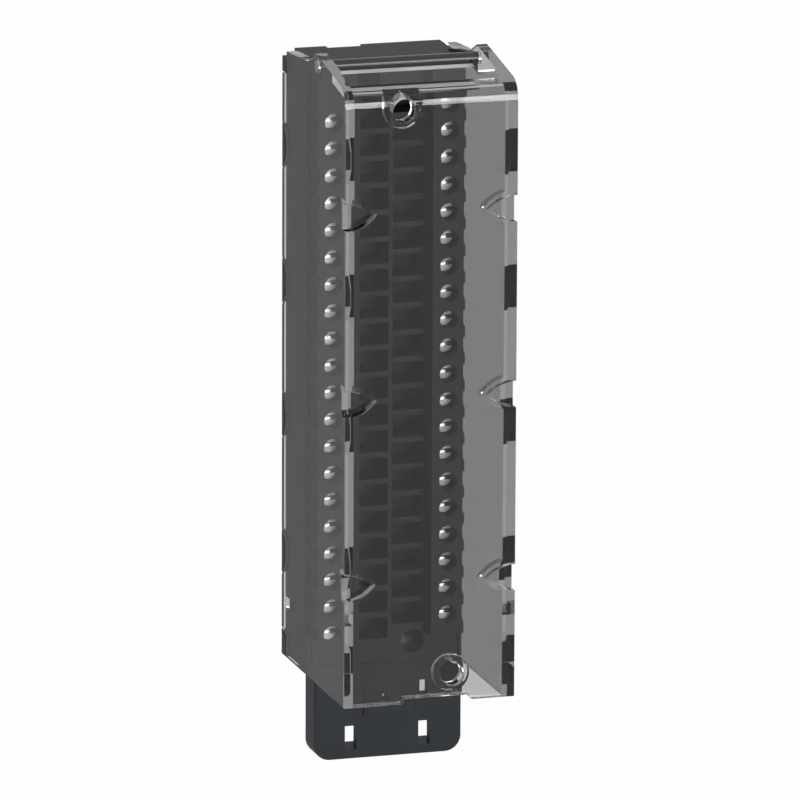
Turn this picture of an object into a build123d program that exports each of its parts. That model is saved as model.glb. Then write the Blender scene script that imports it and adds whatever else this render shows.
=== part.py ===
# Removable forty-way terminal block with a clear hinged cover, two captive fixing screws
# and a cable tie foot. Millimetres. +Z is up, the front looks along -Y, and the origin lies
# on the rear mating face, on the centre plane, level with the middle of the cover's front.
# Depths are measured forward from the mating face, so a depth of 18 is the plane Y = -18.
from build123d import *
import os

# Terminal rows. Everything below them hangs from the last screw, everything above from the first.
terminals_per_row = 20
terminal_pitch = 5.0
row_offset = 10.0            # screw axes from the centre plane
right_row_top = 50.3         # height of the uppermost screw on the right
row_stagger = 2.5            # the left row sits this much lower
rim_side_count = 12          # flats on each screw well and screw head
shank_side_count = 6

# Planes, as depths in front of the mating face
cover_depth = 40.3
hinge_depth = 22.0
strip_depth = 18.0
wire_face_depth = 14.7
joint_depth = 7.0            # where the front moulding meets the rear housing
step_setback = 0.9           # the cap is wider behind this distance from the wire face
flank_setback = 2.0          # from the wire face to the front of the rear housing's side walls

# Walls and fits
cover_wall = 2.0
chamber_wall = 0.5           # between a cage chamber and the outside of the front moulding
flank_wall = 0.5
flank_groove = 0.3
sliding_gap = 0.3            # between the cover and all that it swings past
touch_gap = 0.1              # between pieces that are slipped into each other
pin_running_gap = 0.05

# Clamp cages and their chambers
chamber_half = 2.4           # half a chamber's width, about the screw axis
chamber_height = 4.2
cage_width = 3.2
cage_height = 3.9
cage_side_wall = 0.6
cage_front_wall = 0.8
cage_rear_wall = 0.7
cage_end_play = 0.2

# Screw strips
strip_half = 3.15            # from the screw axes to a strip's inner edge
strip_flare = 0.15           # a strip stands out this far past the moulding behind it
strip_draft = 0.5
strip_end = 1.2              # from the lowest screw axis to the strips' lower end
well_radius = 1.725
grip_notch_depth = 0.35
grip_notch_above = 1.7
grip_notch_below = 0.7
grip_notch_slope = 0.7

# Clamp screws
clamp_head_radius = 1.55
clamp_head_height = 1.6
clamp_head_recess = 3.0
clamp_shank_radius = 1.25
clamp_slot_width = 0.5
clamp_slot_depth = 0.7
clamp_shoulder = 0.9

# Wire pockets
pocket_height = 3.95
pocket_depth = 6.75
left_pocket_inner = 0.47
left_pocket_ledge = 0.9      # from a left pocket to its strip
right_pocket_inner = 0.24
right_pocket_ledge = 0.45
pocket_bevel = 0.7
pocket_bevel_depth = 1.5

# Contacts
bar_thickness = 0.8
bar_height = 2.4
bar_setback = 0.5            # from the chamber's inner wall to the bar's end
bar_clearance = 0.6          # between the bar and the cage's front wall
leg_thickness = 0.6
fork_gap = 0.8
fork_tip_depth = 1.4
fork_root_depth = 5.0
fork_root_thickness = 0.6
spring_thickness = 0.25
spring_length = 2.4
spring_setback = 0.2
rear_wall = 1.2
contact_chamber_height = 3.2
rear_slot_width = 1.4
rear_slot_height = 2.6

# Fixing screws
top_screw_x = -5.1
top_screw_rise = 2.45        # above the cap's seam
bottom_screw_x = 4.45
bottom_screw_drop = 1.63     # below the strips
fixing_well_radius = 2.175
fixing_head_radius = 2.0
fixing_head_height = 2.2
fixing_slot_width = 0.8
fixing_slot_depth = 1.1
fixing_waist_radius = 1.2
fixing_thread_radius = 1.5
fixing_thread_reach = 3.7    # how far the thread stands behind the mating face
fixing_thread_chamfer = 0.4
fixing_shoulder = 0.8
ring_radius = 2.5
ring_thickness = 0.5
ring_depth = 0.2
ring_chamber_radius = 2.8

# Hinged end cap
cap_seam_rise = 1.3          # from the uppermost screw axis to the cap's lower edge
cap_height = 6.55
cap_recess_left = -7.9
cap_recess_right = -1.3
cap_recess_depth = 1.6
cap_front_chamfer = 1.05
hinge_rise = 1.0             # hinge axis above the cap
hinge_pin_radius = 1.1
arm_width = 1.2
arm_front_wall = 0.35        # in front of the pin
arm_lip_drop = 0.2           # the saddle's front edge stands this far below the axis
arm_gusset_drop = 1.35
arm_brow_back = 8.6          # behind the axis, where the arm's top bends
arm_brow_rise = 1.02
arm_root_back = 13.4         # behind the axis, where the arm leaves the cap

# Cover. Its heights are measured from the cap's top and from the underside of the block.
cover_bottom_rise = 0.03
cover_corner_rise = 0.04     # to where the front plane and the sloped top would meet
cover_slope = 0.173
cover_corner_radius = 3.8
cover_top_reach = 10.0       # length of the sloped plate from the front plane
plate_notch_inner = 10.5     # the sloped plate is cut away beside the right wall
plate_notch_length = 3.5
ear_apex_back = 0.5          # the ear's top, behind the hinge axis
ear_valley_back = 5.7
ear_valley_rise = 0.85
ear_tail_rise = 0.02
cover_rear_step = 2.8
cover_rear_step_drop = 4.35
eyelet_radius = 3.35
eyelet_bore_radius = 2.15
eyelet_length = 3.6
eyelet_rib_drop = 0.05
hem_rise = 0.95              # the lower edge of the front plate is higher here
hem_left = -4.7
hem_right = 7.47
hem_chamfer = 0.55

# Finger scoops in the cover's front edges, as distances below the cap's top
scoop_drops = (22.9, 56.95, 90.85)
scoop_length = 5.4
scoop_shoulder_length = 3.0
scoop_shoulder_half = 1.72
scoop_half_height = 2.45
scoop_depth = 2.0
scoop_back_margin = 0.8

# Side lugs at the rear edge, as distances below the cap's top
lug_drops = (17.75, 42.95, 67.95, 93.65)
lug_reach = 2.0
lug_rear_height = 8.0
lug_front_height = 3.0
top_lug_drop = 1.25
bottom_lug_height = 3.3
bottom_lug_rake = 1.0
nib_depth = (2.3, 5.2)
nib_rises = (9.4, 11.5)      # above the underside of the block
nib_proud = 0.2

# Foot
foot_seam_drop = 5.1         # from the strips to the foot's upper edge on the left
foot_seam_step = 0.4         # the edge is lower on the right
deck_thickness = 1.4
tab_length = 16.9
tab_overhang = 0.3           # the tab is a little wider than the block
tab_setback = 0.4            # from the wire face
tab_rear_depth = 8.8
seam_groove = 0.25           # width and depth of the groove along the foot's upper edge
tab_front_wall = 1.9
tab_side_wall = 1.7
tab_corner_radius = 3.0
ledge_length = 8.8
ledge_half = 4.6
tie_slot_inner = 5.93
tie_slot_outer = 8.08
tie_slot_height = 4.45
window_x = (5.8, 7.4)
window_drops = (5.35, 2.7)
peep_x = (-1.3, -0.4)
peep_drops = (5.8, 4.8)

# Planes that follow
step_depth = wire_face_depth - step_setback
flank_depth = wire_face_depth - flank_setback
tab_front_depth = wire_face_depth - tab_setback
groove_floor = wire_face_depth - seam_groove
ear_apex_depth = hinge_depth - ear_apex_back
ear_valley_depth = hinge_depth - ear_valley_back

# Widths that follow, from the screw axes outwards
chamber_inner = row_offset - chamber_half
chamber_outer = row_offset + chamber_half
core_half = chamber_outer + chamber_wall
strip_outer = core_half + strip_flare
strip_inner = row_offset - strip_half
flank_inner = core_half + flank_groove
body_half = flank_inner + flank_wall
cover_inner = body_half + sliding_gap
cover_half = cover_inner + cover_wall
left_pocket_outer = strip_inner - left_pocket_ledge
right_pocket_outer = strip_inner - right_pocket_ledge
tab_half = body_half + tab_overhang

# Heights that follow
left_row_top = right_row_top - row_stagger
left_row_bottom = left_row_top - terminal_pitch * (terminals_per_row - 1)
strip_bottom = left_row_bottom - strip_end
foot_seam = strip_bottom - foot_seam_drop
deck_bottom = foot_seam - deck_thickness
tab_bottom = deck_bottom - tab_length
cap_seam = right_row_top + cap_seam_rise
body_top = cap_seam + cap_height
hinge_height = body_top + hinge_rise
cover_bottom = deck_bottom + cover_bottom_rise
cover_corner_height = body_top + cover_corner_rise
cover_rear_step_height = body_top - cover_rear_step_drop
top_screw_z = cap_seam + top_screw_rise
bottom_screw_z = strip_bottom - bottom_screw_drop
lug_heights = [body_top - drop for drop in lug_drops]
scoop_heights = [body_top - drop for drop in scoop_drops]
top_lug_low = cover_rear_step_height + sliding_gap
top_lug_high = body_top - top_lug_drop
bottom_lug_top = foot_seam + bottom_lug_height
nib_heights = [deck_bottom + rise for rise in nib_rises]

# Depths that follow, from the strips' front to the contacts
pocket_floor = wire_face_depth - pocket_depth
head_depth = strip_depth - clamp_head_recess
head_back = head_depth - clamp_head_height
shoulder_front = head_back - touch_gap
chamber_front = shoulder_front - clamp_shoulder
cage_front = chamber_front - cage_end_play
cage_back = joint_depth + cage_end_play
bar_front = cage_front - cage_front_wall - bar_clearance
bar_back = bar_front - bar_thickness
corner_lug_reach = cover_rear_step - sliding_gap
ring_chamber_front = joint_depth - fixing_shoulder
shoulder_hole_radius = fixing_thread_radius + touch_gap

# Contact places that follow
leg_outside = chamber_outer - touch_gap
leg_inside = leg_outside - leg_thickness
fork_half = fork_gap / 2 + leg_thickness
contact_x = leg_outside - fork_half
bar_inner_end = chamber_inner + bar_setback
spring_half = fork_half + spring_thickness
contact_chamber_half = spring_half + touch_gap
screw_places = {"top": (top_screw_x, top_screw_z), "bottom": (bottom_screw_x, bottom_screw_z)}


# Helpers
def block(x_range, depth_range, z_range):
    """A box between two places across, two depths and two heights."""
    size = [high - low for low, high in (x_range, depth_range, z_range)]
    middle = [(low + high) / 2 for low, high in (x_range, depth_range, z_range)]
    return Pos(middle[0], -middle[1], middle[2]) * Box(*size)


def rod(radius, x, z, depth_range):
    """A cylinder that runs front to back."""
    low, high = depth_range
    return Pos(x, -(low + high) / 2, z) * Rot(90, 0, 0) * Cylinder(radius, high - low)


def flats(radius, count, x, z, depth_range):
    """A regular prism that runs front to back, with its corners at the given radius."""
    low, high = depth_range
    section = RegularPolygon(radius, count)
    return Pos(x, -low, z) * Rot(90, 0, 0) * extrude(section, amount=high - low)


def side_profile(points, x_range):
    """A shape drawn from the side as (depth, height) points, given its width across."""
    low, high = x_range
    outline = Polyline(*[(low, -depth, height) for depth, height in points], close=True)
    return extrude(make_face(outline), amount=high - low, dir=(1, 0, 0))


def plan_profile(points, z_range):
    """A shape drawn from above as (x, depth) points, given its height."""
    low, high = z_range
    outline = Polyline(*[(x, -depth, low) for x, depth in points], close=True)
    return extrude(make_face(outline), amount=high - low, dir=(0, 0, 1))


def mirrored(shape):
    return mirror(shape, about=Plane.YZ)


def row_heights(side):
    """Screw heights of a row, from the top down. side is 1 on the right, -1 on the left."""
    top = right_row_top if side > 0 else left_row_top
    return [top - terminal_pitch * index for index in range(terminals_per_row)]


def per_terminal(make_right, side):
    """One copy of a piece for each terminal of a row. make_right(z) builds the right one."""
    copies = [make_right(z) for z in row_heights(side)]
    return copies if side > 0 else [mirrored(copy) for copy in copies]


def terminal_housing():
    """Front moulding: two screw strips with wells, and the staggered wire pockets between."""
    depths = (joint_depth, wire_face_depth)
    core = block((-core_half, core_half), depths, (foot_seam, cap_seam))
    core += block((0, core_half), depths, (foot_seam - foot_seam_step, foot_seam))
    strip = plan_profile([(strip_inner - strip_draft, wire_face_depth), (strip_inner, strip_depth),
                          (strip_outer, strip_depth), (strip_outer, flank_depth + touch_gap),
                          (strip_inner, flank_depth + touch_gap)], (strip_bottom, cap_seam))
    body = core + strip + mirrored(strip)

    cuts = []
    for side in (1, -1):
        cuts += per_terminal(terminal_cavity, side)
        cuts += per_terminal(right_pocket if side > 0 else left_pocket, side)
        cuts += per_terminal(grip_notch, side)
    body -= cuts
    body -= rod(fixing_well_radius, bottom_screw_x, bottom_screw_z, depths)
    return body


def terminal_cavity(z):
    """Screw well, shoulder hole, cage chamber and wire window of one terminal."""
    half_chamber = chamber_height / 2
    half_window = cage_height / 2 - cage_side_wall
    hole_radius = clamp_shank_radius + touch_gap
    cavity = flats(well_radius, rim_side_count, row_offset, z, (shoulder_front, strip_depth))
    cavity += flats(hole_radius, shank_side_count, row_offset, z, (chamber_front, shoulder_front))
    cavity += block((chamber_inner, chamber_outer), (joint_depth, chamber_front),
                    (z - half_chamber, z + half_chamber))
    cavity += block((left_pocket_outer, chamber_inner), (pocket_floor, bar_back),
                    (z - half_window, z + half_window))
    return cavity


def right_pocket(z):
    """Wire pocket of the right row, with its inner wall bevelled at the mouth."""
    throat = right_pocket_inner + pocket_bevel
    outline = [(right_pocket_inner, wire_face_depth), (right_pocket_outer, wire_face_depth),
               (right_pocket_outer, pocket_floor), (throat, pocket_floor),
               (throat, wire_face_depth - pocket_bevel_depth)]
    return plan_profile(outline, (z - pocket_height / 2, z + pocket_height / 2))


def left_pocket(z):
    """Wire pocket of the left row, drawn on the right side."""
    return block((left_pocket_inner, left_pocket_outer), (pocket_floor, wire_face_depth),
                 (z - pocket_height / 2, z + pocket_height / 2))


def grip_notch(z):
    """Shallow notch in the outer side of a strip, square at its top and sloped at its foot."""
    deep = strip_outer - grip_notch_depth
    outline = Polyline((strip_outer, -strip_depth, z + grip_notch_above),
                       (deep, -strip_depth, z + grip_notch_above),
                       (deep, -strip_depth, z - grip_notch_below),
                       (strip_outer, -strip_depth, z - grip_notch_below - grip_notch_slope),
                       close=True)
    return extrude(make_face(outline), amount=strip_depth - flank_depth, dir=(0, 1, 0))


def rear_housing():
    """Rear moulding: contact chambers, thin side walls round the front moulding, side lugs."""
    body = block((-body_half, body_half), (0, joint_depth), (foot_seam, cap_seam))
    flank = block((flank_inner, body_half), (joint_depth, flank_depth), (foot_seam, cap_seam))
    flank += block((flank_inner, body_half), (flank_depth, wire_face_depth),
                   (foot_seam, strip_bottom - touch_gap))
    for height in lug_heights:
        flank += side_lug(height)
    flank += bottom_corner_lug()
    flank += block((body_half, body_half + nib_proud), nib_depth, nib_heights)
    body += flank
    body += mirrored(flank)

    cuts = per_terminal(contact_cavity, 1) + per_terminal(contact_cavity, -1)
    x, z = screw_places["bottom"]
    cuts.append(rod(shoulder_hole_radius, x, z, (ring_chamber_front, joint_depth)))
    for x, z in screw_places.values():
        cuts.append(rod(ring_chamber_radius, x, z, (0, ring_chamber_front)))
    return body - cuts


def side_lug(height):
    """Wedge that stands out of the flank at the rear edge, level with the cover's outside."""
    rear, front = lug_rear_height / 2, lug_front_height / 2
    return side_profile([(0, height - rear), (0, height + rear),
                         (lug_reach, height + front), (lug_reach, height - front)],
                        (body_half, cover_half))


def bottom_corner_lug():
    """Lug at the lower rear corner, raked on top so that the cover can swing past it."""
    return side_profile([(0, foot_seam), (0, bottom_lug_top),
                         (corner_lug_reach, bottom_lug_top - bottom_lug_rake),
                         (corner_lug_reach, foot_seam)], (body_half, cover_half))


def contact_cavity(z):
    """Chamber for one contact, open to the front, with a pin slot in the rear wall."""
    half = contact_chamber_height / 2
    cavity = block((contact_x - contact_chamber_half, contact_x + contact_chamber_half),
                   (rear_wall, joint_depth), (z - half, z + half))
    cavity += block((contact_x - rear_slot_width / 2, contact_x + rear_slot_width / 2),
                    (0, rear_wall), (z - rear_slot_height / 2, z + rear_slot_height / 2))
    return cavity


def hinge_end_cap():
    """Upper end moulding, with the hinge arms and the well of the top fixing screw."""
    bevel = cap_front_chamfer
    body = block((-body_half, body_half), (0, step_depth), (cap_seam, body_top))
    front = [(step_depth, cap_seam), (step_depth, body_top), (strip_depth - bevel, body_top),
             (strip_depth, body_top - bevel), (strip_depth, cap_seam)]
    body += side_profile(front, (-strip_outer, strip_outer))
    channel = [(strip_inner - strip_draft, wire_face_depth), (strip_inner, strip_depth),
               (-strip_inner, strip_depth), (strip_draft - strip_inner, wire_face_depth)]
    body -= plan_profile(channel, (cap_seam, body_top - bevel))
    body += block((top_screw_x - eyelet_radius, top_screw_x + eyelet_radius),
                  (wire_face_depth, strip_depth), (cap_seam, body_top - bevel))
    side = hinge_arm() + block((body_half, cover_half), (0, corner_lug_reach),
                               (top_lug_low, top_lug_high))
    body += side
    body += mirrored(side)

    x, z = screw_places["top"]
    cuts = [rod(fixing_well_radius, x, z, (joint_depth, strip_depth)),
            rod(shoulder_hole_radius, x, z, (ring_chamber_front, joint_depth)),
            rod(ring_chamber_radius, x, z, (0, ring_chamber_front)),
            block((cap_recess_left, cap_recess_right), (0, cap_recess_depth), (cap_seam, body_top))]
    # The uppermost terminal on the right reaches up into the cap.
    cuts += [terminal_cavity(right_row_top), right_pocket(right_row_top), grip_notch(right_row_top),
             contact_cavity(right_row_top)]
    return body - cuts


def hinge_arm():
    """Right hinge arm: a low web on the cap that ends in an open saddle for the hinge pin."""
    x_range = (body_half - arm_width, body_half)
    foot = body_top - arm_gusset_drop
    front = hinge_depth + hinge_pin_radius + arm_front_wall
    lip = hinge_height - arm_lip_drop
    web = side_profile([(step_depth, foot), (front, foot), (front, lip), (hinge_depth, lip),
                        (hinge_depth - hinge_pin_radius / 2, hinge_height + hinge_pin_radius),
                        (hinge_depth - arm_brow_back, body_top + arm_brow_rise),
                        (hinge_depth - arm_root_back, body_top), (step_depth, body_top)], x_range)
    return web - crossbar(hinge_pin_radius + pin_running_gap, x_range)


def crossbar(radius, x_range):
    """A cylinder on the hinge axis between two places across."""
    low, high = x_range
    return Pos((low + high) / 2, -hinge_depth, hinge_height) * Rot(0, 90, 0) * Cylinder(radius, high - low)


def cable_tie_foot():
    """Lower end moulding: a deck under the block and a hollow tab with two tie slots."""
    low_seam = foot_seam - foot_seam_step
    deck = block((-body_half, body_half), (0, wire_face_depth), (deck_bottom, low_seam))
    deck += block((-body_half, 0), (0, wire_face_depth), (low_seam, foot_seam))
    deck += block((0, body_half), (0, joint_depth), (low_seam, foot_seam))
    lug = block((body_half, cover_half), (0, corner_lug_reach), (deck_bottom, foot_seam))
    deck += lug
    deck += mirrored(lug)

    ledge_bottom = deck_bottom - ledge_length
    apron = side_profile([(tab_rear_depth, deck_bottom), (wire_face_depth, deck_bottom),
                          (tab_front_depth, ledge_bottom), (tab_rear_depth, ledge_bottom)],
                         (-body_half, body_half))
    ledge = block((-ledge_half, ledge_half), (tab_rear_depth, wire_face_depth),
                  (ledge_bottom, deck_bottom))
    tab = rounded_foot(tab_half, (tab_rear_depth, tab_front_depth), tab_bottom, tab_corner_radius)
    body = deck + apron + ledge + tab
    edge = (groove_floor, wire_face_depth)
    body -= [block((-body_half, 0), edge, (foot_seam - seam_groove, foot_seam)),
             block((-seam_groove, 0), edge, (low_seam - seam_groove, foot_seam)),
             block((0, body_half), edge, (low_seam - seam_groove, low_seam))]

    tray_bottom = tab_bottom + tab_side_wall
    through = (tab_rear_depth, wire_face_depth)
    slot = block((tie_slot_inner, tie_slot_outer), through,
                 (tray_bottom, tray_bottom + tie_slot_height))
    window_z = [deck_bottom - drop for drop in window_drops]
    peep_z = [deck_bottom - drop for drop in peep_drops]
    tray = rounded_foot(tab_half - tab_side_wall, (tab_rear_depth, tab_front_depth - tab_front_wall),
                        tray_bottom, tab_corner_radius - tab_side_wall)
    return body - [tray, slot, mirrored(slot), block(window_x, through, window_z),
                   block(peep_x, through, peep_z)]


def rounded_foot(half_width, depth_range, bottom, radius):
    """A block that hangs from the deck, with rounded lower corners."""
    plain = block((-half_width, half_width), depth_range, (bottom, deck_bottom))
    return fillet(plain.edges().filter_by(Axis.Y).group_by(Axis.Z)[0], radius)


def cover_outside():
    """The cover's outer form: front, rounded corner, sloped top, ears and stepped rear edge."""
    apex_height = cover_corner_height + cover_slope * (cover_depth - ear_apex_depth)
    outline = [(cover_depth, cover_bottom), (cover_depth, cover_corner_height),
               (ear_apex_depth, apex_height), (ear_valley_depth, body_top + ear_valley_rise),
               (cover_rear_step, body_top + ear_tail_rise),
               (cover_rear_step, cover_rear_step_height),
               (0, cover_rear_step_height), (0, cover_bottom)]
    solid = side_profile(outline, (-cover_half, cover_half))
    corner = solid.edges().filter_by(Axis.X).sort_by_distance((0, -cover_depth, cover_corner_height))[0]
    return fillet(corner, cover_corner_radius)


def cover_inside():
    """The space inside the cover, open at the back, the bottom and behind the sloped top."""
    drop = cover_wall * (1 + cover_slope ** 2) ** 0.5
    front = cover_depth - cover_wall
    top_rear = cover_depth - cover_top_reach
    beyond = cover_depth
    corner_height = cover_corner_height + cover_slope * cover_wall - drop
    outline = [(front, cover_bottom - beyond), (front, corner_height),
               (top_rear, cover_corner_height + cover_slope * cover_top_reach - drop),
               (top_rear, body_top + beyond), (-beyond, body_top + beyond),
               (-beyond, cover_bottom - beyond)]
    solid = side_profile(outline, (-cover_inner, cover_inner))
    corner = solid.edges().filter_by(Axis.X).sort_by_distance((0, -front, corner_height))[0]
    return fillet(corner, cover_corner_radius - cover_wall)


def eyelet(x, z):
    """Guide tube that lets a screwdriver through to a fixing screw."""
    return rod(eyelet_radius, x, z, (cover_depth - eyelet_length, cover_depth))


def scoop_form(height, reach, margin):
    """Pointed arch lying on its side, open to the right edge, from the front plane back."""
    side = cover_half + cover_wall

    def place(x, z):
        return (x, -cover_depth, height + z)

    tip = place(cover_half - scoop_length - margin, 0)
    shoulder_x = cover_half - scoop_shoulder_length
    rise = scoop_shoulder_half + margin
    end = scoop_half_height + margin
    outline = [ThreePointArc(tip, place(shoulder_x, rise), place(cover_half, end)),
               Line(place(cover_half, end), place(side, end)),
               Line(place(side, end), place(side, -end)),
               Line(place(side, -end), place(cover_half, -end)),
               ThreePointArc(place(cover_half, -end), place(shoulder_x, -rise), tip)]
    return extrude(make_face(Wire(outline)), amount=reach, dir=(0, 1, 0))


def lug_notch(height):
    """Notch in the rear edge of the side walls that clears a side lug as the cover swings."""
    rake = (lug_rear_height - lug_front_height) / 2 / lug_reach
    spread = sliding_gap * (1 + rake ** 2) ** 0.5
    rear = lug_rear_height / 2 + spread
    front_depth = lug_reach + sliding_gap
    front = rear - rake * front_depth
    back = rear + rake * sliding_gap
    return side_profile([(-sliding_gap, height - back), (-sliding_gap, height + back),
                         (front_depth, height + front), (front_depth, height - front)],
                        (-2 * cover_half, 2 * cover_half))


def corner_notch():
    """Notch at the foot of the rear edge that clears the lower corner lugs."""
    low = cover_bottom - sliding_gap
    front = bottom_lug_top - bottom_lug_rake + sliding_gap
    return side_profile([(-sliding_gap, low), (-sliding_gap, bottom_lug_top + 2 * sliding_gap),
                         (cover_rear_step, front), (cover_rear_step, low)],
                        (-2 * cover_half, 2 * cover_half))


def raised_hem():
    """Cut that lifts the lower edge of the front plate, with a small chamfer at its right end."""
    low, high = cover_bottom - cover_wall, cover_bottom + hem_rise
    outline = Polyline((hem_left, -cover_depth, low), (hem_left, -cover_depth, high),
                       (hem_right, -cover_depth, high),
                       (hem_right, -cover_depth, cover_bottom + hem_chamfer),
                       (hem_right + hem_chamfer, -cover_depth, cover_bottom),
                       (hem_right + hem_chamfer, -cover_depth, low), close=True)
    return extrude(make_face(outline), amount=2 * cover_wall, dir=(0, 1, 0))


def protective_cover():
    """Clear cover: front plate, side walls with ears, short sloped top, eyelets and scoops."""
    outside = cover_outside()
    shell = outside - cover_inside()
    x, z = screw_places["top"]
    shell += eyelet(x, z)
    shell += block((x - eyelet_radius, x + eyelet_radius),
                   (cover_depth - eyelet_length, cover_depth), (z, body_top - eyelet_rib_drop))
    shell += eyelet(*screw_places["bottom"])
    cuts = []
    for height in scoop_heights:
        pan = scoop_form(height, scoop_depth + cover_wall, scoop_back_margin) & outside
        shell += pan
        shell += mirrored(pan)
        scoop = scoop_form(height, scoop_depth, 0)
        cuts += [scoop, mirrored(scoop)]
    for height in lug_heights:
        cuts.append(lug_notch(height))
    cuts.append(corner_notch())
    cuts.append(block((-2 * cover_half, 2 * cover_half), nib_depth, nib_heights))
    cuts.append(raised_hem())
    plate_rear = cover_depth - cover_top_reach
    cuts.append(block((plate_notch_inner, cover_inner), (plate_rear, plate_rear + plate_notch_length),
                      (body_top - cover_wall, body_top + 2 * cover_wall)))
    for x, z in screw_places.values():
        cuts.append(rod(eyelet_bore_radius, x, z, (cover_depth - 2 * eyelet_length, 2 * cover_depth)))
    cuts.append(crossbar(hinge_pin_radius + pin_running_gap, (-2 * cover_half, 2 * cover_half)))
    return shell - cuts


def clamp_screw(z):
    """Slotted clamp screw: its head shows in the well, its tip bears on the contact bar."""
    tip = bar_front + touch_gap / 2
    screw = flats(clamp_head_radius, rim_side_count, row_offset, z, (head_back, head_depth))
    screw += flats(clamp_shank_radius, shank_side_count, row_offset, z, (tip, head_back))
    half_slot = clamp_slot_width / 2
    return screw - block((row_offset - well_radius, row_offset + well_radius),
                         (head_depth - clamp_slot_depth, head_depth + touch_gap),
                         (z - half_slot, z + half_slot))


def clamp_cage(z):
    """Box clamp that the screw draws up, open sideways for the contact bar and the wire."""
    half_width, half_height = cage_width / 2, cage_height / 2
    half_mouth = half_height - cage_side_wall
    x_range = (row_offset - half_width, row_offset + half_width)
    cage = block(x_range, (cage_back, cage_front), (z - half_height, z + half_height))
    cage -= block(x_range, (cage_back + cage_rear_wall, cage_front - cage_front_wall),
                  (z - half_mouth, z + half_mouth))
    return cage - flats(clamp_shank_radius + touch_gap / 2, shank_side_count, row_offset, z,
                        (cage_front - cage_front_wall, cage_front))


def contact(z):
    """Stamped contact: a bar through the cage and a fork that grips a pin of the module."""
    gap_low, gap_high = contact_x - fork_gap / 2, contact_x + fork_gap / 2
    inner_tine = contact_x - fork_half
    root_front = fork_root_depth + fork_root_thickness
    outline = [(bar_inner_end, bar_front), (leg_outside, bar_front), (leg_outside, fork_tip_depth),
               (gap_high, fork_tip_depth), (gap_high, fork_root_depth), (gap_low, fork_root_depth),
               (gap_low, fork_tip_depth), (inner_tine, fork_tip_depth), (inner_tine, root_front),
               (leg_inside, root_front), (leg_inside, bar_back), (bar_inner_end, bar_back)]
    return plan_profile(outline, (z - bar_height / 2, z + bar_height / 2))


def contact_spring(z):
    """Steel spring box round the fork's tines."""
    front = fork_root_depth - spring_setback
    depths = (front - spring_length, front)
    half_height = bar_height / 2
    outer = block((contact_x - spring_half, contact_x + spring_half), depths,
                  (z - half_height - spring_thickness, z + half_height + spring_thickness))
    return outer - block((contact_x - fork_half, contact_x + fork_half), depths,
                         (z - half_height, z + half_height))


def fixing_screw(x, z):
    """Captive fixing screw: slotted head, slim waist for the retaining ring, threaded end."""
    head_front = joint_depth + fixing_head_height
    screw = rod(fixing_head_radius, x, z, (joint_depth, head_front))
    screw += rod(fixing_waist_radius, x, z, (ring_depth, joint_depth))
    thread = rod(fixing_thread_radius, x, z, (-fixing_thread_reach, ring_depth))
    tip = thread.edges().filter_by(GeomType.CIRCLE).sort_by(Axis.Y)[-1]
    screw += chamfer(tip, fixing_thread_chamfer)
    half_slot = fixing_slot_width / 2
    return screw - block((x - fixing_well_radius, x + fixing_well_radius),
                         (head_front - fixing_slot_depth, head_front + touch_gap),
                         (z - half_slot, z + half_slot))


def retaining_ring(x, z):
    """Washer on the screw's waist that keeps the screw from falling out at the front."""
    depths = (ring_depth, ring_depth + ring_thickness)
    return rod(ring_radius, x, z, depths) - rod(fixing_waist_radius + pin_running_gap, x, z, depths)


def group(pieces):
    """Several separate solids that share one node."""
    return Compound([solid for piece in pieces for solid in piece.solids()])


def rows(make_right, name):
    """Right and left groups of one kind of piece."""
    return {name + "_right": group(per_terminal(make_right, 1)),
            name + "_left": group(per_terminal(make_right, -1))}


def all_nodes():
    nodes = {
        "terminal_housing": terminal_housing(),
        "rear_housing": rear_housing(),
        "hinge_end_cap": hinge_end_cap(),
        "cable_tie_foot": cable_tie_foot(),
        "protective_cover": protective_cover(),
        "hinge_pin": crossbar(hinge_pin_radius, (-cover_half, cover_half)),
    }
    nodes.update(rows(clamp_screw, "clamp_screws"))
    nodes.update(rows(clamp_cage, "clamp_cages"))
    nodes.update(rows(contact, "contacts"))
    nodes.update(rows(contact_spring, "contact_springs"))
    for name, (x, z) in screw_places.items():
        nodes["fixing_screw_" + name] = fixing_screw(x, z)
        nodes["retaining_ring_" + name] = retaining_ring(x, z)
    return nodes


os.makedirs("parts", exist_ok=True)
for node_name, shape in all_nodes().items():
    export_step(shape, "parts/" + node_name + ".step")
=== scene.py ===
"""Looks of a removable forty-way terminal block with a clear hinged cover, seen as in the photo."""
import math

import bpy
from mathutils import Euler, Matrix, Vector


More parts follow.
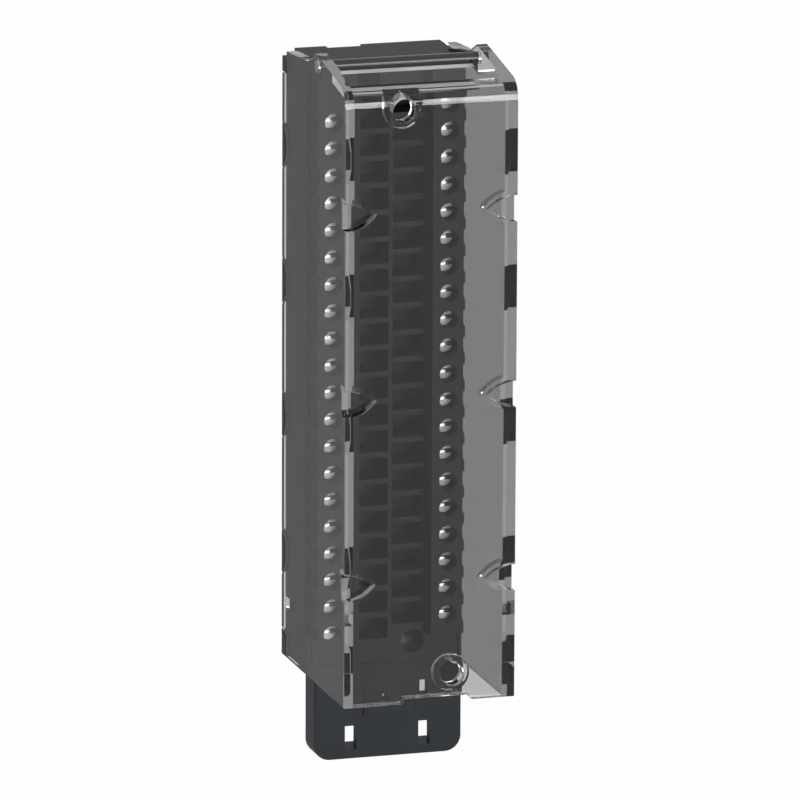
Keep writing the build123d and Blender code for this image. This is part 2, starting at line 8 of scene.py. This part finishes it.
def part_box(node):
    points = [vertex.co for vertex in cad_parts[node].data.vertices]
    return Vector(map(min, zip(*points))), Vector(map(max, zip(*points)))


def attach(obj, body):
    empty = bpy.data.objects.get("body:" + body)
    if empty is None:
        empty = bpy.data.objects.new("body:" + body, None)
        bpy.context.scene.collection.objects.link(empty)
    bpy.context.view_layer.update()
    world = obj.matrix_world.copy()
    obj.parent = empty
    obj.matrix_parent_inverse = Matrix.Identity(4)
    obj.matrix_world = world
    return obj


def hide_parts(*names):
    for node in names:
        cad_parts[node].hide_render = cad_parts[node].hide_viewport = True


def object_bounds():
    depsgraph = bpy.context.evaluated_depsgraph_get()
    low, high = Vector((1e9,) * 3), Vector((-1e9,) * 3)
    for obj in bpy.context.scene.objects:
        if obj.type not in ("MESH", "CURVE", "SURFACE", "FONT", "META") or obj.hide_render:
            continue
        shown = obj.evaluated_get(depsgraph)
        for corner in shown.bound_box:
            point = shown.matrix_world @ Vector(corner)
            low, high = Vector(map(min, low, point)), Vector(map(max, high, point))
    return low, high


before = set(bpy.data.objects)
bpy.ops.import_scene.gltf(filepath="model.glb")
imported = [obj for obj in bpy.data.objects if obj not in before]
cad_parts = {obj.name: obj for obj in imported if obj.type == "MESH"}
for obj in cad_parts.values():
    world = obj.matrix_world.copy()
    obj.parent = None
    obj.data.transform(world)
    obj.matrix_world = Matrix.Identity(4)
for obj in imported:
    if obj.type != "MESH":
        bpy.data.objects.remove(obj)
cad_box = [list(corner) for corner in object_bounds()]
scene = bpy.context.scene
scene.view_settings.view_transform = "Standard"
MM = 0.001

# Camera. A very long lens stands to the left of the block and a little above its middle, as in
# the photo. It is turned to the block's front and rolled by a quarter of a degree.
camera_azimuth = math.radians(-16.9022)
camera_elevation = math.radians(13.5922)
camera_roll = math.radians(0.2377)
camera_distance = 1742.569 * MM
camera_right = -5.5062 * MM
camera_up = 1.078 * MM
camera_lens = 438.96
camera_sensor = 36.0
camera_near = 0.1
camera_far = 20

turn = Euler((math.pi / 2 - camera_elevation, 0, camera_azimuth)).to_matrix()
front_middle = Vector((0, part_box("protective_cover")[0].y, 0))
camera_place = front_middle + turn @ Vector((camera_right, camera_up, camera_distance))
bpy.ops.object.camera_add(location=camera_place)
camera = bpy.context.object
camera.rotation_euler = (turn @ Matrix.Rotation(camera_roll, 3, "Z")).to_euler()
camera.data.lens = camera_lens
camera.data.sensor_width = camera_sensor
camera.data.clip_start = camera_near
camera.data.clip_end = camera_far
scene.camera = camera

# Studio. The block stands above a white sheet that runs on behind it, in a white room. One tall
# soft box stands in front of it, to the right, parallel to its front.
sheet_drop = 55 * MM         # from the block's foot down to the sheet
sheet_front = -0.45
sheet_back = 5.0
sheet_width = 6.0
sheet_colour = "#FDFDFD"
sheet_glow = 0.98            # how far the sheet shows as pure white instead of lit paper
room_colour = "#FFFFFF"
shown_strength = 1.0         # of the white that is seen directly
room_strength = 0.35         # of the light that the room throws on things
lamp_across = 0.85
lamp_distance = 2.87
lamp_height = 0.224
lamp_width = 1.2
lamp_tallness = 1.58
lamp_watts = 80


def linear(code):
    """The linear RGBA of an sRGB hex colour."""
    channels = [int(code[place:place + 2], 16) / 255 for place in (1, 3, 5)]
    shares = [c / 12.92 if c <= 0.04045 else ((c + 0.055) / 1.055) ** 2.4 for c in channels]
    return tuple(shares) + (1,)


def add_node(material, kind, settings=None, inputs=None):
    """Adds a node, sets its properties and fills its inputs with values or with other sockets."""
    tree = material.node_tree
    node = tree.nodes.new(kind)
    for name, value in (settings or {}).items():
        setattr(node, name, value)
    for name, value in (inputs or {}).items():
        if isinstance(value, bpy.types.NodeSocket):
            tree.links.new(value, node.inputs[name])
        else:
            node.inputs[name].default_value = value
    return node


def empty_material(name):
    """A node material with nothing in it yet."""
    material = bpy.data.materials.new(name)
    material.use_nodes = True
    material.node_tree.nodes.clear()
    return material


def soft_box(name, place, target, width, height, power):
    """A rectangular soft light that faces a point."""
    bpy.ops.object.light_add(type="AREA", location=place)
    lamp = bpy.context.object
    lamp.name = name
    lamp.rotation_euler = (Vector(target) - Vector(place)).to_track_quat("-Z", "Y").to_euler()
    lamp.data.shape = "RECTANGLE"
    lamp.data.size = width
    lamp.data.size_y = height
    lamp.data.energy = power


def seen_directly(owner):
    """1 for what the camera, a mirror or clear plastic shows, 0 for light that falls on things."""
    rays = add_node(owner, "ShaderNodeLightPath")
    mirrored_too = add_node(owner, "ShaderNodeMath", {"operation": "MAXIMUM"}, {
        0: rays.outputs["Is Camera Ray"], 1: rays.outputs["Is Glossy Ray"]})
    return add_node(owner, "ShaderNodeMath", {"operation": "MAXIMUM"}, {
        0: mirrored_too.outputs[0], 1: rays.outputs["Is Transmission Ray"]}).outputs[0]


sheet_place = (0, (sheet_front + sheet_back) / 2, cad_box[0][2] - sheet_drop)
bpy.ops.mesh.primitive_plane_add(size=1.0, location=sheet_place)
floor = bpy.context.object
floor.scale = (sheet_width, sheet_back - sheet_front, 1)
floor.name = "floor"
paper = empty_material("matt_white_paper")
paper_face = add_node(paper, "ShaderNodeBsdfDiffuse", inputs={"Color": linear(sheet_colour)})
paper_white = add_node(paper, "ShaderNodeEmission", inputs={
    "Color": linear(room_colour), "Strength": shown_strength})
paper_share = add_node(paper, "ShaderNodeMath", {"operation": "MULTIPLY"}, {
    0: seen_directly(paper), 1: sheet_glow})
paper_mix = add_node(paper, "ShaderNodeMixShader", inputs={
    0: paper_share.outputs[0], 1: paper_face.outputs[0], 2: paper_white.outputs[0]})
add_node(paper, "ShaderNodeOutputMaterial", inputs={"Surface": paper_mix.outputs[0]})
floor.data.materials.append(paper)

world = bpy.data.worlds.new("studio")
scene.world = world
world.use_nodes = True
world.node_tree.nodes.clear()
fill_light = add_node(world, "ShaderNodeBackground", inputs={
    "Color": linear(room_colour), "Strength": room_strength})
white_room = add_node(world, "ShaderNodeBackground", inputs={
    "Color": linear(room_colour), "Strength": shown_strength})
sky = add_node(world, "ShaderNodeMixShader", inputs={
    0: seen_directly(world), 1: fill_light.outputs[0], 2: white_room.outputs[0]})
add_node(world, "ShaderNodeOutputWorld", inputs={"Surface": sky.outputs[0]})

soft_box("key", (lamp_across, -lamp_distance, lamp_height), (lamp_across, 0, lamp_height),
         lamp_width, lamp_tallness, lamp_watts)

# Clear plastic turns light back inside its walls many times, so it is followed for longer.
scene.cycles.max_bounces = 24
scene.cycles.glossy_bounces = 16
scene.cycles.transmission_bounces = 24

# Mouldings of the block. Glass-filled nylon in blue-black, moulded in four pieces that meet
# face to face. Their edges keep the small radius of the steel mould.
edge_radius = 0.05 * MM
edge_segments = 2
sharp_angle = math.radians(35)
same_corner = 0.002 * MM     # corners of the solid's triangles this close are one
same_plane = math.radians(0.5)
large_face_weight = 100      # lets only the largest face at a corner set its shading
nylon_dark = "#25282C"
nylon_light = "#2A2D31"
nylon_flow_size = 11.1111 * MM
nylon_flow_range = (0.3, 0.7)
nylon_grain_size = 0.4 * MM  # several times coarser than real, so that it shows
nylon_grain_height = 0.02 * MM
nylon_grain_strength = 0.04
nylon_roughness = 0.55
nylon_ior = 1.53
nylon_shine = 0.09


def alone(piece):
    """Selects one object and nothing else."""
    bpy.ops.object.select_all(action="DESELECT")
    piece.select_set(True)
    bpy.context.view_layer.objects.active = piece


def merged_copy(node):
    """A copy of a node's solid with its loose triangles joined into whole faces."""
    alone(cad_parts[node])
    bpy.ops.object.duplicate()
    piece = bpy.context.object
    piece.name = node + "_finished"
    matrix = piece.matrix_world.copy()
    piece.parent = None
    piece.matrix_world = matrix
    bpy.ops.object.transform_apply(location=True, rotation=True, scale=True)
    bpy.ops.object.mode_set(mode="EDIT")
    bpy.ops.mesh.select_all(action="SELECT")
    bpy.ops.mesh.remove_doubles(threshold=same_corner)
    bpy.ops.mesh.dissolve_limited(angle_limit=same_plane)
    bpy.ops.object.mode_set(mode="OBJECT")
    return piece


def rounded(piece, radius):
    """Rounds every sharp edge of a piece, as its tool leaves it."""
    alone(piece)
    rounding = piece.modifiers.new("rounding", "BEVEL")
    rounding.width = radius
    rounding.segments = edge_segments
    rounding.limit_method = "ANGLE"
    rounding.angle_limit = sharp_angle
    bpy.ops.object.modifier_apply(modifier=rounding.name)
    bpy.ops.object.shade_smooth_by_angle(angle=sharp_angle)


def flat_faces(piece):
    """Keeps large faces flat where they meet a rounded edge."""
    flatness = piece.modifiers.new("flat_faces", "WEIGHTED_NORMAL")
    flatness.mode = "FACE_AREA"
    flatness.weight = large_face_weight
    flatness.keep_sharp = True
    bpy.ops.object.modifier_apply(modifier=flatness.name)


def finish_piece(piece, material, body, slot_name, *nodes):
    """Gives a finished piece its material and body, and hides the nodes it stands for. The slot
    name is not used.
    """
    piece.data.materials.clear()
    piece.data.materials.append(material)
    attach(piece, body)
    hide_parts(*nodes)


def moulded_nylon():
    """Glass-filled nylon: blue-black, matt, with the faint spark-eroded grain of the mould."""
    material = empty_material("moulded_glass_filled_nylon")
    place = add_node(material, "ShaderNodeTexCoord")
    flow = add_node(material, "ShaderNodeTexNoise", inputs={
        "Vector": place.outputs["Object"], "Scale": 1 / nylon_flow_size, "Detail": 3.0})
    tint = add_node(material, "ShaderNodeValToRGB", inputs={"Fac": flow.outputs[0]})
    stops = zip(tint.color_ramp.elements, nylon_flow_range, (nylon_dark, nylon_light))
    for stop, position, colour in stops:
        stop.position = position
        stop.color = linear(colour)
    grain = add_node(material, "ShaderNodeTexNoise", inputs={
        "Vector": place.outputs["Object"], "Scale": 1 / nylon_grain_size, "Detail": 2.0})
    bump = add_node(material, "ShaderNodeBump", inputs={
        "Height": grain.outputs[0], "Strength": nylon_grain_strength,
        "Distance": nylon_grain_height})
    surface = add_node(material, "ShaderNodeBsdfPrincipled", inputs={
        "Base Color": tint.outputs[0], "Roughness": nylon_roughness, "IOR": nylon_ior,
        "Specular IOR Level": nylon_shine, "Normal": bump.outputs[0]})
    add_node(material, "ShaderNodeOutputMaterial", inputs={"Surface": surface.outputs[0]})
    return material


nylon = moulded_nylon()
for moulding in ("terminal_housing", "rear_housing", "hinge_end_cap", "cable_tie_foot"):
    moulded = merged_copy(moulding)
    rounded(moulded, edge_radius)
    flat_faces(moulded)
    finish_piece(moulded, nylon, "block", "moulded_black", moulding)

# Hinge pin. An acetal rod across the top of the block, moulded in a polished tool and snapped
# into the open saddles of the two hinge arms. The cover's ears turn on it.
pin_edge_radius = 0.1 * MM
pin_colour = "#2B2D31"
pin_flow_size = 6 * MM
pin_roughness = (0.2, 0.26)  # where the surface is brightest and where it is dullest
pin_ior = 1.48
pin_shine = 0.4


def polished_acetal():
    """Polished black acetal: slightly waxy, with one thin bright line along the rod."""
    material = empty_material("polished_black_acetal")
    place = add_node(material, "ShaderNodeTexCoord")
    flow = add_node(material, "ShaderNodeTexNoise", inputs={
        "Vector": place.outputs["Object"], "Scale": 1 / pin_flow_size, "Detail": 2.0})
    waxiness = add_node(material, "ShaderNodeMapRange", inputs={
        "Value": flow.outputs[0], "To Min": pin_roughness[0], "To Max": pin_roughness[1]})
    surface = add_node(material, "ShaderNodeBsdfPrincipled", inputs={
        "Base Color": linear(pin_colour), "Roughness": waxiness.outputs[0], "IOR": pin_ior,
        "Specular IOR Level": pin_shine})
    add_node(material, "ShaderNodeOutputMaterial", inputs={"Surface": surface.outputs[0]})
    return material


pin = merged_copy("hinge_pin")
rounded(pin, pin_edge_radius)
flat_faces(pin)
finish_piece(pin, polished_acetal(), "block", "moulded_black", "hinge_pin")

# Protective cover. Clear polycarbonate, injection moulded in one piece with polished faces,
# lightly smoke tinted, with ears that turn on the hinge pin.
cover_edge_radius = 0.12 * MM
cover_ior = 1.57
smoke_tint = "#D6D6D6"
polish_tint = "#EFEFEF"
trapped_tint = "#D0D0D0"
trapped_after = 3.5          # turns inside a wall, after which light is let out of it
white = "#FFFFFF"
# A studio leaves most of what a pane mirrors in the dark, but an inner edge mirrors it all. Each
# pair is the share that polycarbonate turns back and the share that shows.
first_mirrored = (0.0, 0.0)
last_mirrored = (0.98, 1.0)
mirrored_between = ((0.05, 0.03), (0.24, 0.066), (0.6, 0.3))


def clear_polycarbonate(name, roughness):
    """Clear polycarbonate: lightly smoked, dark or white where an edge turns light back."""
    material = empty_material(name)
    inside = add_node(material, "ShaderNodeBsdfRefraction", inputs={
        "Color": linear(smoke_tint), "Roughness": roughness, "IOR": cover_ior})
    polish = add_node(material, "ShaderNodeBsdfGlossy", inputs={
        "Color": linear(polish_tint), "Roughness": roughness})
    angle = add_node(material, "ShaderNodeFresnel", inputs={"IOR": cover_ior})
    mirrored = add_node(material, "ShaderNodeValToRGB", inputs={"Fac": angle.outputs[0]})
    levels = mirrored.color_ramp.elements
    for stop, (position, level) in zip(levels, (first_mirrored, last_mirrored)):
        stop.position = position
        stop.color = (level, level, level, 1)
    for position, level in mirrored_between:
        levels.new(position).color = (level, level, level, 1)
    wall = add_node(material, "ShaderNodeMixShader", inputs={
        0: mirrored.outputs[0], 1: inside.outputs[0], 2: polish.outputs[0]})
    path = add_node(material, "ShaderNodeLightPath")
    trapped = add_node(material, "ShaderNodeMath", {"operation": "GREATER_THAN"}, {
        0: path.outputs["Glossy Depth"], 1: trapped_after})
    leaving = add_node(material, "ShaderNodeBsdfTransparent", inputs={
        "Color": linear(trapped_tint)})
    wall = add_node(material, "ShaderNodeMixShader", inputs={
        0: trapped.outputs[0], 1: wall.outputs[0], 2: leaving.outputs[0]})
    # Light that falls through the cover on the block isn't bent or dimmed.
    passing = add_node(material, "ShaderNodeBsdfTransparent", inputs={"Color": linear(white)})
    indirect = add_node(material, "ShaderNodeMath", {"operation": "MAXIMUM"}, {
        0: path.outputs["Is Shadow Ray"], 1: path.outputs["Is Diffuse Ray"]})
    surface = add_node(material, "ShaderNodeMixShader", inputs={
        0: indirect.outputs[0], 1: wall.outputs[0], 2: passing.outputs[0]})
    add_node(material, "ShaderNodeOutputMaterial", inputs={"Surface": surface.outputs[0]})
    return material


cover = merged_copy("protective_cover")
rounded(cover, cover_edge_radius)

# The upper eyelet's block ends flush with the cover's rounded corner, so a box that is hollowed
# to the corner's round is cut away from it.
corner_radius = 3.8 * MM
corner_centre_depth = 36.5 * MM
corner_centre_height = 54.991 * MM
corner_sides = 128
flush_allowance = 0.003 * MM
flush_half_width = 3.65 * MM
flush_front = 45 * MM
flush_rear = 38.3 * MM
flush_top = 60 * MM


def cut_away(piece, cutter):
    """Takes a solid out of a piece and removes the solid."""
    alone(piece)
    cut = piece.modifiers.new("cut", "BOOLEAN")
    cut.operation = "DIFFERENCE"
    cut.solver = "EXACT"
    cut.object = cutter
    bpy.ops.object.modifier_apply(modifier=cut.name)
    bpy.data.objects.remove(cutter)


screw_low, screw_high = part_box("fixing_screw_top")
eyelet_x = (screw_low.x + screw_high.x) / 2
bpy.ops.object.select_all(action="DESELECT")
bpy.ops.mesh.primitive_cube_add(size=1.0, location=(
    eyelet_x, -(flush_front + flush_rear) / 2, (corner_centre_height + flush_top) / 2))
trimming = bpy.context.object
trimming.scale = (2 * flush_half_width, flush_front - flush_rear, flush_top - corner_centre_height)
bpy.ops.object.transform_apply(location=True, rotation=True, scale=True)
bpy.ops.object.select_all(action="DESELECT")
bpy.ops.mesh.primitive_cylinder_add(
    vertices=corner_sides, radius=corner_radius + flush_allowance, depth=4 * flush_half_width,
    rotation=(0, math.pi / 2, 0), location=(eyelet_x, -corner_centre_depth, corner_centre_height))
corner_round = bpy.context.object
bpy.ops.object.transform_apply(location=True, rotation=True, scale=True)
cut_away(trimming, corner_round)
cut_away(cover, trimming)
bpy.ops.object.shade_smooth_by_angle(angle=sharp_angle)

# Its flat faces square to the block mirror without bending, so their borders are kept sharp.
squareness = 0.999999


def pick_faces(piece, wanted):
    """Selects, in edit mode, the faces whose middle and normal pass a test."""
    bpy.ops.object.mode_set(mode="OBJECT")
    alone(piece)
    bpy.ops.object.mode_set(mode="EDIT")
    bpy.ops.mesh.select_mode(type="FACE")
    bpy.ops.mesh.select_all(action="DESELECT")
    bpy.ops.object.mode_set(mode="OBJECT")
    for face in piece.data.polygons:
        face.select = wanted(face.center, face.normal)
    bpy.ops.object.mode_set(mode="EDIT")


pick_faces(cover, lambda centre, normal: max(abs(part) for part in normal) > squareness)
bpy.ops.mesh.region_to_loop()
bpy.ops.mesh.mark_sharp()
bpy.ops.object.mode_set(mode="OBJECT")
flat_faces(cover)
polished_roughness = 0.0
finish_piece(cover, clear_polycarbonate("polished_clear_polycarbonate", polished_roughness),
             "cover", "clear_cover", "protective_cover")

# The sloped plate's rear edge is satin, as a trimmed edge is. Polished, it would mirror a white
# line.
satin_roughness = 0.35
plate_rear_depth = 30.3 * MM
plate_underside = 57 * MM
trimmed_band = 0.3 * MM


def dress_faces(piece, material, wanted):
    """Gives some faces of a finished piece a material of their own."""
    piece.data.materials.append(material)
    for face in piece.data.polygons:
        if wanted(face.center, face.normal):
            face.material_index = len(piece.data.materials) - 1


def on_trimmed_edge(centre, normal):
    """Whether a face of the cover lies on the sloped plate's rear edge."""
    return abs(centre.y + plate_rear_depth) < trimmed_band and centre.z > plate_underside


dress_faces(cover, clear_polycarbonate("trimmed_clear_polycarbonate", satin_roughness),
            on_trimmed_edge)

# Clamp screws. Slotted steel screws, turned, milled with a slot and zinc plated. One stands in
# each well of the two strips, and its shank draws up the clamp cage behind it.
terminals_per_row = 20
screw_slot_width = 0.62 * MM
screw_slot_depth = 0.85 * MM
screw_head_radius = 1.55 * MM
screw_head_height = 1.6 * MM
screw_shank_radius = 1.25 * MM
screw_edge = 0.03 * MM
screw_sides = 48
facing = 0.9                 # how squarely a face has to look along a screw to be its end
zinc_colour = "#DCDDDE"
zinc_roughness = 0.1
dull_zinc_colour = "#A6A8AA"
dull_zinc_roughness = 0.55
streak_size = 1.1111 * MM
streak_spread = (0.8, 1.25)  # the least and most of a plating's roughness


def plated_metal(name, code, roughness):
    """Plated metal: grey and bright, with soft streaks where the plating has dulled."""
    material = empty_material(name)
    place = add_node(material, "ShaderNodeTexCoord")
    streak = add_node(material, "ShaderNodeTexNoise", inputs={
        "Vector": place.outputs["Object"], "Scale": 1 / streak_size, "Detail": 2.0})
    dulling = add_node(material, "ShaderNodeMapRange", inputs={
        "Value": streak.outputs[0], "To Min": roughness * streak_spread[0],
        "To Max": roughness * streak_spread[1]})
    surface = add_node(material, "ShaderNodeBsdfPrincipled", inputs={
        "Base Color": linear(code), "Metallic": 1.0, "Roughness": dulling.outputs[0]})
    add_node(material, "ShaderNodeOutputMaterial", inputs={"Surface": surface.outputs[0]})
    return material


def extrude_by(x, y, z):
    """Draws the selected faces out by a distance."""
    bpy.ops.mesh.extrude_region_move(TRANSFORM_OT_translate={"value": (x, y, z)})


def slotted_head(name, front, radius, height, slot_width, slot_depth, shank_radius):
    """A slotted screw head behind a point, left in edit mode with its shank's start selected."""
    bpy.ops.object.select_all(action="DESELECT")
    solid_part = height - slot_depth
    middle = Vector((front.x, front.y + slot_depth + solid_part / 2, front.z))
    bpy.ops.mesh.primitive_cylinder_add(vertices=screw_sides, radius=radius, depth=solid_part,
                                        location=middle, rotation=(math.pi / 2, 0, 0))
    head = bpy.context.object
    head.name = name
    bpy.ops.object.transform_apply(location=True, rotation=True, scale=True)
    for side in (1, -1):
        pick_faces(head, lambda centre, normal: normal.y < -facing)
        edge = (front.x, middle.y, front.z + side * slot_width / 2)
        bpy.ops.mesh.bisect(plane_co=edge, plane_no=(0, 0, 1))
    pick_faces(head, lambda centre, normal: (normal.y < -facing
                                             and abs(centre.z - front.z) > slot_width / 2))
    extrude_by(0, -slot_depth, 0)
    pick_faces(head, lambda centre, normal: normal.y > facing)
    bpy.ops.mesh.inset(thickness=radius - shank_radius)
    return head


def repeated(piece, name, steps):
    """One object with its own mesh that holds a copy of a finished piece at each step."""
    copies = []
    for step in steps:
        alone(piece)
        bpy.ops.object.duplicate()
        bpy.ops.transform.translate(value=step)
        copies.append(bpy.context.object)
    for copy in copies:
        copy.select_set(True)
    bpy.ops.object.join()
    joined = bpy.context.object
    joined.name = name
    bpy.ops.object.transform_apply(location=True, rotation=True, scale=True)
    return joined


def middle_of(low, high):
    """Halfway between two numbers."""
    return (low + high) / 2


zinc = plated_metal("zinc_plated_steel", zinc_colour, zinc_roughness)
# The heads' front faces are dull, and the slots between them keep the bright zinc.
dull_zinc = plated_metal("passivated_zinc_head_faces", dull_zinc_colour, dull_zinc_roughness)
screws_low, screws_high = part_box("clamp_screws_right")
first_front = Vector((middle_of(screws_low.x, screws_high.x), screws_low.y,
                      screws_high.z - screw_head_radius))
clamp_screw = slotted_head("clamp_screw", first_front, screw_head_radius, screw_head_height,
                           screw_slot_width, screw_slot_depth, screw_shank_radius)
extrude_by(0, screws_high.y - screws_low.y - screw_head_height, 0)
bpy.ops.object.mode_set(mode="OBJECT")
rounded(clamp_screw, screw_edge)
flat_faces(clamp_screw)
for row in ("right", "left"):
    low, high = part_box("clamp_screws_" + row)
    pitch = (high.z - low.z - 2 * screw_head_radius) / (terminals_per_row - 1)
    start = Vector((middle_of(low.x, high.x) - first_front.x, 0, high.z - screws_high.z))
    steps = [start + Vector((0, 0, -pitch * index)) for index in range(terminals_per_row)]
    screws = repeated(clamp_screw, "clamp_screws_" + row + "_finished", steps)
    finish_piece(screws, zinc, "block", "plated_steel", "clamp_screws_" + row)
    dress_faces(screws, dull_zinc, lambda centre, normal: (centre.y < low.y + screw_edge
                                                           and normal.y < -facing))
bpy.data.objects.remove(clamp_screw)

# Clamp cages. Box clamps bent from steel strip and zinc plated, one behind each clamp screw,
# which draws it up over the wire and the contact's bar.


def dress_solids(material, *nodes):
    """Gives a material to nodes that show as their own solids."""
    for node in nodes:
        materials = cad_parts[node].data.materials
        materials.clear()
        materials.append(material)


dress_solids(zinc, "clamp_cages_right", "clamp_cages_left")

# Contacts. Forks of tin-plated copper alloy, each stamped in one with its leg and with the bar
# that runs through a clamp cage. They grip the pins of the module.
tin_colour = "#B9B5AB"
tin_roughness = 0.35
tin = plated_metal("tinned_bronze", tin_colour, tin_roughness)
dress_solids(tin, "contacts_right", "contacts_left")

# Contact springs. Boxes bent from bare spring steel, one slipped over the tines of each contact
# to press them on the module's pin.
spring_colour = "#8C8D8F"
spring_roughness = 0.3
spring = plated_metal("spring_steel", spring_colour, spring_roughness)
dress_solids(spring, "contact_springs_right", "contact_springs_left")

# Fixing screws. Two captive slotted steel screws, turned, thread rolled and zinc plated, that
# hold the block to its module. Each has a slim waist between its head and its thread.
fixing_head_radius = 2.0 * MM
fixing_head_height = 2.2 * MM
fixing_slot_width = 0.8 * MM
fixing_slot_depth = 1.1 * MM
fixing_waist_radius = 1.2 * MM
fixing_waist_length = 6.8 * MM
fixing_edge = 0.05 * MM
thread_radius = 1.5 * MM
thread_root_radius = 1.24 * MM
thread_pitch = 0.5 * MM
thread_turns = 7
thread_tip = 0.4 * MM
thread_tip_radius = 1.1 * MM


def widen(ratio, axis):
    """Scales the selected end of a turned piece about its axis."""
    bpy.ops.transform.resize(value=(ratio, 1, ratio), center_override=axis)


for place_name in ("top", "bottom"):
    low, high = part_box("fixing_screw_" + place_name)
    axis = Vector((middle_of(low.x, high.x), low.y, middle_of(low.z, high.z)))
    fixing = slotted_head("fixing_screw_" + place_name + "_finished", axis,
                          fixing_head_radius, fixing_head_height,
                          fixing_slot_width, fixing_slot_depth, fixing_waist_radius)
    extrude_by(0, fixing_waist_length, 0)
    extrude_by(0, 0, 0)
    widen(thread_root_radius / fixing_waist_radius, axis)
    for thread_turn in range(thread_turns):
        extrude_by(0, thread_pitch / 2, 0)
        widen(thread_radius / thread_root_radius, axis)
        extrude_by(0, thread_pitch / 2, 0)
        widen(thread_root_radius / thread_radius, axis)
    extrude_by(0, thread_tip, 0)
    widen(thread_tip_radius / thread_root_radius, axis)
    bpy.ops.object.mode_set(mode="OBJECT")
    rounded(fixing, fixing_edge)
    flat_faces(fixing)
    finish_piece(fixing, zinc, place_name + "_screw", "plated_steel", "fixing_screw_" + place_name)

# Retaining rings. Punched steel washers on the fixing screws' waists, zinc plated, which keep
# the screws in the block.
dress_solids(zinc, "retaining_ring_top", "retaining_ring_bottom")
